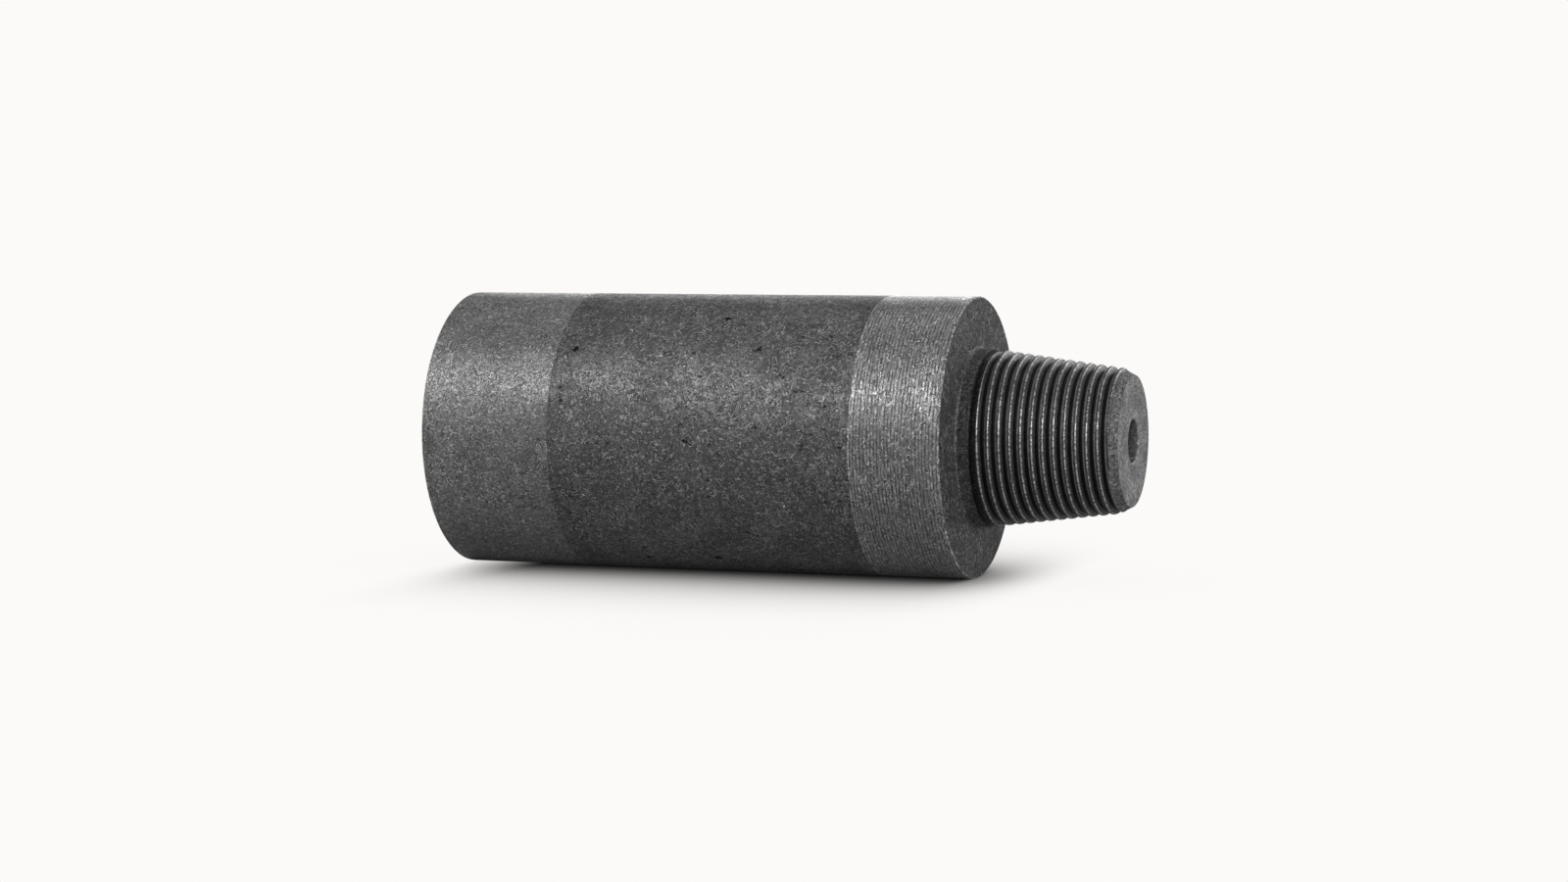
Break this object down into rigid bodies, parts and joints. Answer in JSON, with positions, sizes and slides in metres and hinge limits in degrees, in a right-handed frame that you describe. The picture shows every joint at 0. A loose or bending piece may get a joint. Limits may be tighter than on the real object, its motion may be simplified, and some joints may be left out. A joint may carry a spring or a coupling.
{
  "type": "graphite electrode",
  "caption": "Cylindrical graphite electrode with a ground and a turned end band, a tapered screw pin on one end and the matching threaded socket in the other.",
  "frame": {"origin": "centre of the socket end's flat face, on which the electrode stands", "axes": "+Z along the axis from the socket end to the pin end; X and Y are free, because the part is turned"},
  "size_m": [0.2249, 0.225, 0.562],
  "materials": {
    "graphite": "machined graphite, dull with a faint metallic sheen on the turned faces"
  },
  "bodies": {
    "root": {"electrode": "graphite"}
  },
  "joints": []
}
